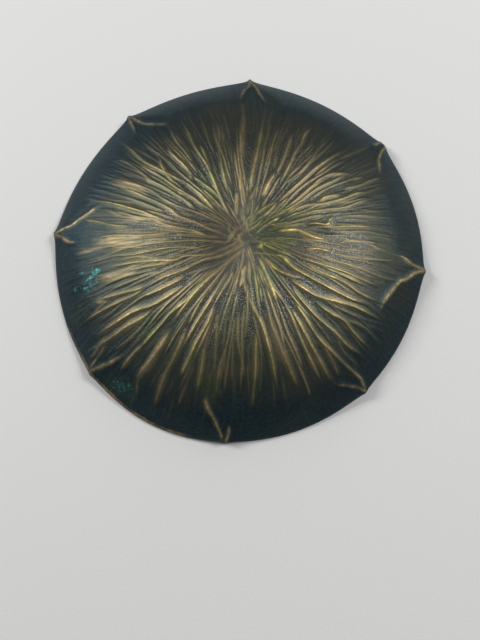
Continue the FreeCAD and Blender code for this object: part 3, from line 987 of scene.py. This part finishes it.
def needle_brass():
    return blotched_metal(
        "needle_brass", noise=(700.0, 5.0), blotches=(0.4, 0.65),
        tones=((0.62, 0.45, 0.20), (0.33, 0.23, 0.11)),
        bump_noise=(2500.0, 2.0), bump=(0.02 * MM, 0.4), metallic=1.0, roughness=(0.24, 0.45))


def lead_alloy():
    return blotched_metal(
        "lead_alloy", noise=(250.0, 6.0, 0.65), blotches=(0.35, 0.7),
        tones=((0.13, 0.135, 0.14), (0.30, 0.30, 0.29)),
        bump_noise=(1200.0, 4.0), bump=(0.08 * MM, 0.6), metallic=0.8, roughness=(0.48, 0.68))


def solder():
    return blotched_metal(
        "solder", noise=(180.0, 5.0, 0.6, 0.6), blotches=(0.35, 0.7),
        tones=((0.26, 0.26, 0.255), (0.44, 0.44, 0.42)),
        bump_noise=(500.0, 3.0), bump=(0.12 * MM, 0.5), metallic=0.85, roughness=(0.35, 0.55))


def use_material(piece, material):
    piece.data.materials.clear()
    piece.data.materials.append(material)


# ---------------------------------------------------------------- pieces

draw_leaf()
leaf = bpy.data.objects.new("leaf_shell_detail", make_leaf_mesh())
bpy.context.scene.collection.objects.link(leaf)
use_material(leaf, patinated_bronze())
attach(leaf, "root")
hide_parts("leaf_shell")

brass = needle_brass()
finishes = {"solder_bed": solder(), "needle_plate": lead_alloy()}
for name, node in frame["nodes"].items():
    if name != "leaf_shell":
        use_material(node, finishes.get(name, brass))


# ---------------------------------------------------------------- floor, light and camera

FLOOR_HALF = 4.0
FLOOR_NOISE = (1800.0, 2.0)
FLOOR_DARK = (0.335, 0.337, 0.330)
FLOOR_LIGHT = (0.355, 0.357, 0.350)
FLOOR_ROUGHNESS = 0.9
ROOM_COLOR = (0.96, 0.98, 1.0, 1)
ROOM_STRENGTH = 0.36
LIGHT_TARGET = Vector((0, 0, 0.01))

# Name, place, width and height, power in watts, and whether it shows in glossy reflections
LIGHTS = (
    ("window", (0.12, 0.62, 0.30), (0.9, 0.4), 2.45, False),
    ("left_panel", (-0.58, 0.21, 0.52), (0.20, 0.24), 7.0, True),
    ("right_panel", (0.53, 0.16, 0.58), (0.20, 0.24), 6.2, True),
    ("front_panel", (0.05, -0.45, 0.75), (0.5, 0.3), 0.15, True),
)

CAMERA_PLACE = Vector((10.9, -45.5, 151.8)) * MM
CAMERA_TARGET = Vector((1.9, -21.9, 0.7)) * MM
CAMERA_ROLL = 0.5
CAMERA_LENS_MM = 27.0
SENSOR_WIDTH_MM = 36.0
NEAR_CLIP = 5.0 * MM


def plain_floor():
    mesh = bpy.data.meshes.new("floor")
    corners = [(-FLOOR_HALF, -FLOOR_HALF, 0), (FLOOR_HALF, -FLOOR_HALF, 0),
               (FLOOR_HALF, FLOOR_HALF, 0), (-FLOOR_HALF, FLOOR_HALF, 0)]
    mesh.from_pydata(corners, [], [(0, 1, 2, 3)])
    floor = bpy.data.objects.new("floor", mesh)
    bpy.context.scene.collection.objects.link(floor)
    n = Nodes("floor")
    color = n.mix(n.ramp(n.noise(*FLOOR_NOISE), *EVEN_SPREAD), FLOOR_DARK, FLOOR_LIGHT)
    use_material(floor, n.finish(color, 0.0, FLOOR_ROUGHNESS))


def area_light(name, place, size, power, glossy):
    """Soft rectangular light aimed at the leaf."""
    data = bpy.data.lights.new(name, "AREA")
    data.shape = "RECTANGLE"
    data.size, data.size_y = size
    data.energy = power
    light = bpy.data.objects.new(name, data)
    light.location = place
    light.rotation_euler = (LIGHT_TARGET - Vector(place)).to_track_quat("-Z", "Y").to_euler()
    light.visible_glossy = glossy
    bpy.context.scene.collection.objects.link(light)


def soft_light():
    world = bpy.data.worlds.new("room")
    bpy.context.scene.world = world
    world.use_nodes = True
    background = world.node_tree.nodes["Background"]
    background.inputs["Color"].default_value = ROOM_COLOR
    background.inputs["Strength"].default_value = ROOM_STRENGTH
    for light in LIGHTS:
        area_light(*light)


def camera():
    data = bpy.data.cameras.new("camera")
    data.lens = CAMERA_LENS_MM
    data.sensor_width = SENSOR_WIDTH_MM
    data.clip_start = NEAR_CLIP
    back = (CAMERA_PLACE - CAMERA_TARGET).normalized()
    right = Vector((0, 1, 0)).cross(back).normalized()
    up = back.cross(right)
    turn = Matrix((right, up, back)).transposed().to_4x4()
    roll = Matrix.Rotation(math.radians(CAMERA_ROLL), 4, "Z")
    made = bpy.data.objects.new("camera", data)
    made.matrix_world = Matrix.Translation(CAMERA_PLACE) @ turn @ roll
    bpy.context.scene.collection.objects.link(made)
    bpy.context.scene.camera = made


plain_floor()
soft_light()
camera()
bpy.context.scene.view_settings.view_transform = "Standard"
